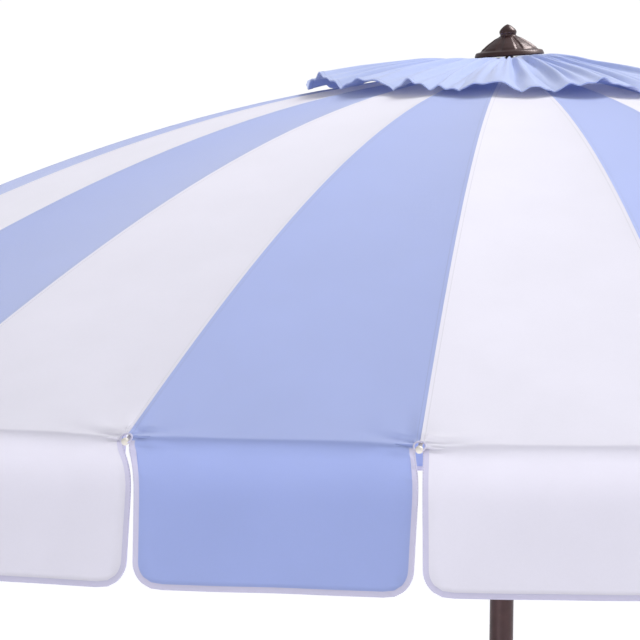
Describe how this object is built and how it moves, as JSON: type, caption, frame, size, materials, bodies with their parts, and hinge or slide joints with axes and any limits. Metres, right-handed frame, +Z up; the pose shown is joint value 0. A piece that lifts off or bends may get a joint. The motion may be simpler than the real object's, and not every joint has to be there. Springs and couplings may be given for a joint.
{
  "type": "garden parasol",
  "caption": "Crank-lift parasol with a vented, skirted canopy of alternating light blue and white panels, fibreglass ribs, a ruffled cap and a bronze finial on a two-part pole.",
  "frame": {"origin": "centre of the flat end of the pole's foot", "axes": "+Z up along the pole, towards the finial; -Y towards the crank and the side seen first"},
  "size_m": [2.7474, 2.7446, 2.486],
  "materials": {
    "bronze": "dark brown-bronze powder coat, satin",
    "steel": "brushed, bare",
    "fibreglass": "off-white pultruded rod, semi-gloss",
    "black_plastic": "moulded, fine grain",
    "canopy_blue": "light blue woven canopy cloth",
    "canopy_white": "white woven canopy cloth",
    "cap_blue": "light blue woven cap cloth",
    "binding": "pale woven edge tape",
    "cord": "braided lift cord"
  },
  "bodies": {
    "pole": {"pole_foot": "black_plastic", "lower_pole": "bronze", "mast": "bronze", "crank_housing": "black_plastic", "crown_hub": "bronze", "pulley_pin": "steel", "lift_cord": "cord", "finial": "bronze", "canopy": "canopy_blue", "vent_cap": "cap_blue"},
    "button": {"snap_button": "steel"},
    "crank": {"spool": "steel", "crank_arm": "bronze"},
    "knob": {"crank_knob": "black_plastic"},
    "sheave": {"pulley": "black_plastic"},
    "runner": {"runner": "bronze"},
    "rib_01": {"rib_01": "fibreglass"},
    "stretcher_01": {"stretcher_01": "bronze"},
    "rib_02": {"rib_02": "fibreglass"},
    "stretcher_02": {"stretcher_02": "bronze"},
    "rib_03": {"rib_03": "fibreglass"},
    "stretcher_03": {"stretcher_03": "bronze"},
    "rib_04": {"rib_04": "fibreglass"},
    "stretcher_04": {"stretcher_04": "bronze"},
    "rib_05": {"rib_05": "fibreglass"},
    "stretcher_05": {"stretcher_05": "bronze"},
    "rib_06": {"rib_06": "fibreglass"},
    "stretcher_06": {"stretcher_06": "bronze"},
    "rib_07": {"rib_07": "fibreglass"},
    "stretcher_07": {"stretcher_07": "bronze"},
    "rib_08": {"rib_08": "fibreglass"},
    "stretcher_08": {"stretcher_08": "bronze"},
    "rib_09": {"rib_09": "fibreglass"},
    "stretcher_09": {"stretcher_09": "bronze"},
    "rib_10": {"rib_10": "fibreglass"},
    "stretcher_10": {"stretcher_10": "bronze"},
    "rib_11": {"rib_11": "fibreglass"},
    "stretcher_11": {"stretcher_11": "bronze"},
    "rib_12": {"rib_12": "fibreglass"},
    "stretcher_12": {"stretcher_12": "bronze"},
    "rib_13": {"rib_13": "fibreglass"},
    "stretcher_13": {"stretcher_13": "bronze"},
    "rib_14": {"rib_14": "fibreglass"},
    "stretcher_14": {"stretcher_14": "bronze"},
    "rib_15": {"rib_15": "fibreglass"},
    "stretcher_15": {"stretcher_15": "bronze"},
    "rib_16": {"rib_16": "fibreglass"},
    "stretcher_16": {"stretcher_16": "bronze"},
    "rib_17": {"rib_17": "fibreglass"},
    "stretcher_17": {"stretcher_17": "bronze"},
    "rib_18": {"rib_18": "fibreglass"},
    "stretcher_18": {"stretcher_18": "bronze"},
    "rib_19": {"rib_19": "fibreglass"},
    "stretcher_19": {"stretcher_19": "bronze"},
    "rib_20": {"rib_20": "fibreglass"},
    "stretcher_20": {"stretcher_20": "bronze"},
    "rib_21": {"rib_21": "fibreglass"},
    "stretcher_21": {"stretcher_21": "bronze"},
    "rib_22": {"rib_22": "fibreglass"},
    "stretcher_22": {"stretcher_22": "bronze"}
  },
  "joints": [
    {"name": "runner_slide", "type": "slide", "parent": "pole", "child": "runner", "axis": [0, 0, -1], "range_m": [0, 0.78313], "deforming": ["canopy", "vent_cap", "lift_cord"]},
    {"name": "button_press", "type": "slide", "parent": "pole", "child": "button", "axis": [-1, 0, 0], "range_m": [0, 0.004], "stiffness_N_per_m": 600, "springref_m": -0.002},
    {"name": "crank_turn", "type": "hinge", "parent": "pole", "child": "crank", "pos_m": [0, -0.04, 0.885], "axis": [1, 0, 0], "range_deg": [0, 4274.3]},
    {"name": "knob_spin", "type": "hinge", "parent": "crank", "child": "knob", "pos_m": [0.05, -0.04, 0.81], "axis": [1, 0, 0], "continuous": true},
    {"name": "pulley_turn", "type": "hinge", "parent": "pole", "child": "sheave", "pos_m": [0.0078, 0, 2.325], "axis": [0, 1, 0], "range_deg": [0, 3678.9]},
    {"name": "rib_fold_01", "type": "hinge", "parent": "pole", "child": "rib_01", "pos_m": [-0.00471, -0.05982, 2.402], "axis": [0.9969, -0.0785, 0], "range_deg": [0, 70.1]},
    {"name": "stretcher_fold_01", "type": "hinge", "parent": "rib_01", "child": "stretcher_01", "pos_m": [-0.05053, -0.64201, 2.26212], "axis": [0.9969, -0.0785, 0], "range_deg": [-123.26, 0]},
    {"name": "rib_fold_02", "type": "hinge", "parent": "pole", "child": "rib_02", "pos_m": [0.01234, -0.05872, 2.402], "axis": [0.9786, 0.2056, 0], "range_deg": [0, 70.1]},
    {"name": "stretcher_fold_02", "type": "hinge", "parent": "rib_02", "child": "stretcher_02", "pos_m": [0.1324, -0.63024, 2.26212], "axis": [0.9786, 0.2056, 0], "range_deg": [-123.26, 0]},
    {"name": "rib_fold_03", "type": "hinge", "parent": "pole", "child": "rib_03", "pos_m": [0.02838, -0.05286, 2.402], "axis": [0.8811, 0.473, 0], "range_deg": [0, 70.1]},
    {"name": "stretcher_fold_03", "type": "hinge", "parent": "rib_03", "child": "stretcher_03", "pos_m": [0.30459, -0.56741, 2.26212], "axis": [0.8811, 0.473, 0], "range_deg": [-123.26, 0]},
    {"name": "rib_fold_04", "type": "hinge", "parent": "pole", "child": "rib_04", "pos_m": [0.04212, -0.04273, 2.402], "axis": [0.7121, 0.702, 0], "range_deg": [0, 70.1]},
    {"name": "stretcher_fold_04", "type": "hinge", "parent": "rib_04", "child": "stretcher_04", "pos_m": [0.45211, -0.45862, 2.26212], "axis": [0.7121, 0.702, 0], "range_deg": [-123.26, 0]},
    {"name": "rib_fold_05", "type": "hinge", "parent": "pole", "child": "rib_05", "pos_m": [0.05245, -0.02913, 2.402], "axis": [0.4855, 0.8742, 0], "range_deg": [0, 70.1]},
    {"name": "stretcher_fold_05", "type": "hinge", "parent": "rib_05", "child": "stretcher_05", "pos_m": [0.56301, -0.31266, 2.26212], "axis": [0.4855, 0.8742, 0], "range_deg": [-123.26, 0]},
    {"name": "rib_fold_06", "type": "hinge", "parent": "pole", "child": "rib_06", "pos_m": [0.05854, -0.01317, 2.402], "axis": [0.2195, 0.9756, 0], "range_deg": [0, 70.1]},
    {"name": "stretcher_fold_06", "type": "hinge", "parent": "rib_06", "child": "stretcher_06", "pos_m": [0.62829, -0.14138, 2.26212], "axis": [0.2195, 0.9756, 0], "range_deg": [-123.26, 0]},
    {"name": "rib_fold_07", "type": "hinge", "parent": "pole", "child": "rib_07", "pos_m": [0.05988, 0.00385, 2.402], "axis": [-0.0642, 0.9979, 0], "range_deg": [0, 70.1]},
    {"name": "stretcher_fold_07", "type": "hinge", "parent": "rib_07", "child": "stretcher_07", "pos_m": [0.64267, 0.04135, 2.26212], "axis": [-0.0642, 0.9979, 0], "range_deg": [-123.26, 0]},
    {"name": "rib_fold_08", "type": "hinge", "parent": "pole", "child": "rib_08", "pos_m": [0.05637, 0.02057, 2.402], "axis": [-0.3428, 0.9394, 0], "range_deg": [0, 70.1]},
    {"name": "stretcher_fold_08", "type": "hinge", "parent": "rib_08", "child": "stretcher_08", "pos_m": [0.60499, 0.22074, 2.26212], "axis": [-0.3428, 0.9394, 0], "range_deg": [-123.26, 0]},
    {"name": "rib_fold_09", "type": "hinge", "parent": "pole", "child": "rib_09", "pos_m": [0.04829, 0.03561, 2.402], "axis": [-0.5935, 0.8048, 0], "range_deg": [0, 70.1]},
    {"name": "stretcher_fold_09", "type": "hinge", "parent": "rib_09", "child": "stretcher_09", "pos_m": [0.51829, 0.38224, 2.26212], "axis": [-0.5935, 0.8048, 0], "range_deg": [-123.26, 0]},
    {"name": "rib_fold_10", "type": "hinge", "parent": "pole", "child": "rib_10", "pos_m": [0.0363, 0.04777, 2.402], "axis": [-0.7962, 0.605, 0], "range_deg": [0, 70.1]},
    {"name": "stretcher_fold_10", "type": "hinge", "parent": "rib_10", "child": "stretcher_10", "pos_m": [0.38961, 0.51278, 2.26212], "axis": [-0.7962, 0.605, 0], "range_deg": [-123.26, 0]},
    {"name": "rib_fold_11", "type": "hinge", "parent": "pole", "child": "rib_11", "pos_m": [0.02137, 0.05607, 2.402], "axis": [-0.9344, 0.3561, 0], "range_deg": [0, 70.1]},
    {"name": "stretcher_fold_11", "type": "hinge", "parent": "rib_11", "child": "stretcher_11", "pos_m": [0.22936, 0.60177, 2.26212], "axis": [-0.9344, 0.3561, 0], "range_deg": [-123.26, 0]},
    {"name": "rib_fold_12", "type": "hinge", "parent": "pole", "child": "rib_12", "pos_m": [0.00471, 0.05982, 2.402], "axis": [-0.9969, 0.0785, 0], "range_deg": [0, 70.1]},
    {"name": "stretcher_fold_12", "type": "hinge", "parent": "rib_12", "child": "stretcher_12", "pos_m": [0.05053, 0.64201, 2.26212], "axis": [-0.9969, 0.0785, 0], "range_deg": [-123.26, 0]},
    {"name": "rib_fold_13", "type": "hinge", "parent": "pole", "child": "rib_13", "pos_m": [-0.01234, 0.05872, 2.402], "axis": [-0.9786, -0.2056, 0], "range_deg": [0, 70.1]},
    {"name": "stretcher_fold_13", "type": "hinge", "parent": "rib_13", "child": "stretcher_13", "pos_m": [-0.1324, 0.63024, 2.26212], "axis": [-0.9786, -0.2056, 0], "range_deg": [-123.26, 0]},
    {"name": "rib_fold_14", "type": "hinge", "parent": "pole", "child": "rib_14", "pos_m": [-0.02838, 0.05286, 2.402], "axis": [-0.8811, -0.473, 0], "range_deg": [0, 70.1]},
    {"name": "stretcher_fold_14", "type": "hinge", "parent": "rib_14", "child": "stretcher_14", "pos_m": [-0.30459, 0.56741, 2.26212], "axis": [-0.8811, -0.473, 0], "range_deg": [-123.26, 0]},
    {"name": "rib_fold_15", "type": "hinge", "parent": "pole", "child": "rib_15", "pos_m": [-0.04212, 0.04273, 2.402], "axis": [-0.7121, -0.702, 0], "range_deg": [0, 70.1]},
    {"name": "stretcher_fold_15", "type": "hinge", "parent": "rib_15", "child": "stretcher_15", "pos_m": [-0.45211, 0.45862, 2.26212], "axis": [-0.7121, -0.702, 0], "range_deg": [-123.26, 0]},
    {"name": "rib_fold_16", "type": "hinge", "parent": "pole", "child": "rib_16", "pos_m": [-0.05245, 0.02913, 2.402], "axis": [-0.4855, -0.8742, 0], "range_deg": [0, 70.1]},
    {"name": "stretcher_fold_16", "type": "hinge", "parent": "rib_16", "child": "stretcher_16", "pos_m": [-0.56301, 0.31266, 2.26212], "axis": [-0.4855, -0.8742, 0], "range_deg": [-123.26, 0]},
    {"name": "rib_fold_17", "type": "hinge", "parent": "pole", "child": "rib_17", "pos_m": [-0.05854, 0.01317, 2.402], "axis": [-0.2195, -0.9756, 0], "range_deg": [0, 70.1]},
    {"name": "stretcher_fold_17", "type": "hinge", "parent": "rib_17", "child": "stretcher_17", "pos_m": [-0.62829, 0.14138, 2.26212], "axis": [-0.2195, -0.9756, 0], "range_deg": [-123.26, 0]},
    {"name": "rib_fold_18", "type": "hinge", "parent": "pole", "child": "rib_18", "pos_m": [-0.05988, -0.00385, 2.402], "axis": [0.0642, -0.9979, 0], "range_deg": [0, 70.1]},
    {"name": "stretcher_fold_18", "type": "hinge", "parent": "rib_18", "child": "stretcher_18", "pos_m": [-0.64267, -0.04135, 2.26212], "axis": [0.0642, -0.9979, 0], "range_deg": [-123.26, 0]},
    {"name": "rib_fold_19", "type": "hinge", "parent": "pole", "child": "rib_19", "pos_m": [-0.05637, -0.02057, 2.402], "axis": [0.3428, -0.9394, 0], "range_deg": [0, 70.1]},
    {"name": "stretcher_fold_19", "type": "hinge", "parent": "rib_19", "child": "stretcher_19", "pos_m": [-0.60499, -0.22074, 2.26212], "axis": [0.3428, -0.9394, 0], "range_deg": [-123.26, 0]},
    {"name": "rib_fold_20", "type": "hinge", "parent": "pole", "child": "rib_20", "pos_m": [-0.04829, -0.03561, 2.402], "axis": [0.5935, -0.8048, 0], "range_deg": [0, 70.1]},
    {"name": "stretcher_fold_20", "type": "hinge", "parent": "rib_20", "child": "stretcher_20", "pos_m": [-0.51829, -0.38224, 2.26212], "axis": [0.5935, -0.8048, 0], "range_deg": [-123.26, 0]},
    {"name": "rib_fold_21", "type": "hinge", "parent": "pole", "child": "rib_21", "pos_m": [-0.0363, -0.04777, 2.402], "axis": [0.7962, -0.605, 0], "range_deg": [0, 70.1]},
    {"name": "stretcher_fold_21", "type": "hinge", "parent": "rib_21", "child": "stretcher_21", "pos_m": [-0.38961, -0.51278, 2.26212], "axis": [0.7962, -0.605, 0], "range_deg": [-123.26, 0]},
    {"name": "rib_fold_22", "type": "hinge", "parent": "pole", "child": "rib_22", "pos_m": [-0.02137, -0.05607, 2.402], "axis": [0.9344, -0.3561, 0], "range_deg": [0, 70.1]},
    {"name": "stretcher_fold_22", "type": "hinge", "parent": "rib_22", "child": "stretcher_22", "pos_m": [-0.22936, -0.60177, 2.26212], "axis": [0.9344, -0.3561, 0], "range_deg": [-123.26, 0]}
  ],
  "couplings": [
    {"joint": "crank_turn", "follows": "runner_slide", "rad_per_m": 95.238},
    {"joint": "pulley_turn", "follows": "runner_slide", "rad_per_m": 81.967},
    {"joint": "rib_fold_01", "follows": "runner_slide", "rad_per_m": 1.5601},
    {"joint": "stretcher_fold_01", "follows": "runner_slide", "rad_per_m": -2.7449},
    {"joint": "rib_fold_02", "follows": "runner_slide", "rad_per_m": 1.5601},
    {"joint": "stretcher_fold_02", "follows": "runner_slide", "rad_per_m": -2.7449},
    {"joint": "rib_fold_03", "follows": "runner_slide", "rad_per_m": 1.5601},
    {"joint": "stretcher_fold_03", "follows": "runner_slide", "rad_per_m": -2.7449},
    {"joint": "rib_fold_04", "follows": "runner_slide", "rad_per_m": 1.5601},
    {"joint": "stretcher_fold_04", "follows": "runner_slide", "rad_per_m": -2.7449},
    {"joint": "rib_fold_05", "follows": "runner_slide", "rad_per_m": 1.5601},
    {"joint": "stretcher_fold_05", "follows": "runner_slide", "rad_per_m": -2.7449},
    {"joint": "rib_fold_06", "follows": "runner_slide", "rad_per_m": 1.5601},
    {"joint": "stretcher_fold_06", "follows": "runner_slide", "rad_per_m": -2.7449},
    {"joint": "rib_fold_07", "follows": "runner_slide", "rad_per_m": 1.5601},
    {"joint": "stretcher_fold_07", "follows": "runner_slide", "rad_per_m": -2.7449},
    {"joint": "rib_fold_08", "follows": "runner_slide", "rad_per_m": 1.5601},
    {"joint": "stretcher_fold_08", "follows": "runner_slide", "rad_per_m": -2.7449},
    {"joint": "rib_fold_09", "follows": "runner_slide", "rad_per_m": 1.5601},
    {"joint": "stretcher_fold_09", "follows": "runner_slide", "rad_per_m": -2.7449},
    {"joint": "rib_fold_10", "follows": "runner_slide", "rad_per_m": 1.5601},
    {"joint": "stretcher_fold_10", "follows": "runner_slide", "rad_per_m": -2.7449},
    {"joint": "rib_fold_11", "follows": "runner_slide", "rad_per_m": 1.5601},
    {"joint": "stretcher_fold_11", "follows": "runner_slide", "rad_per_m": -2.7449},
    {"joint": "rib_fold_12", "follows": "runner_slide", "rad_per_m": 1.5601},
    {"joint": "stretcher_fold_12", "follows": "runner_slide", "rad_per_m": -2.7449},
    {"joint": "rib_fold_13", "follows": "runner_slide", "rad_per_m": 1.5601},
    {"joint": "stretcher_fold_13", "follows": "runner_slide", "rad_per_m": -2.7449},
    {"joint": "rib_fold_14", "follows": "runner_slide", "rad_per_m": 1.5601},
    {"joint": "stretcher_fold_14", "follows": "runner_slide", "rad_per_m": -2.7449},
    {"joint": "rib_fold_15", "follows": "runner_slide", "rad_per_m": 1.5601},
    {"joint": "stretcher_fold_15", "follows": "runner_slide", "rad_per_m": -2.7449},
    {"joint": "rib_fold_16", "follows": "runner_slide", "rad_per_m": 1.5601},
    {"joint": "stretcher_fold_16", "follows": "runner_slide", "rad_per_m": -2.7449},
    {"joint": "rib_fold_17", "follows": "runner_slide", "rad_per_m": 1.5601},
    {"joint": "stretcher_fold_17", "follows": "runner_slide", "rad_per_m": -2.7449},
    {"joint": "rib_fold_18", "follows": "runner_slide", "rad_per_m": 1.5601},
    {"joint": "stretcher_fold_18", "follows": "runner_slide", "rad_per_m": -2.7449},
    {"joint": "rib_fold_19", "follows": "runner_slide", "rad_per_m": 1.5601},
    {"joint": "stretcher_fold_19", "follows": "runner_slide", "rad_per_m": -2.7449},
    {"joint": "rib_fold_20", "follows": "runner_slide", "rad_per_m": 1.5601},
    {"joint": "stretcher_fold_20", "follows": "runner_slide", "rad_per_m": -2.7449},
    {"joint": "rib_fold_21", "follows": "runner_slide", "rad_per_m": 1.5601},
    {"joint": "stretcher_fold_21", "follows": "runner_slide", "rad_per_m": -2.7449},
    {"joint": "rib_fold_22", "follows": "runner_slide", "rad_per_m": 1.5601},
    {"joint": "stretcher_fold_22", "follows": "runner_slide", "rad_per_m": -2.7449}
  ]
}
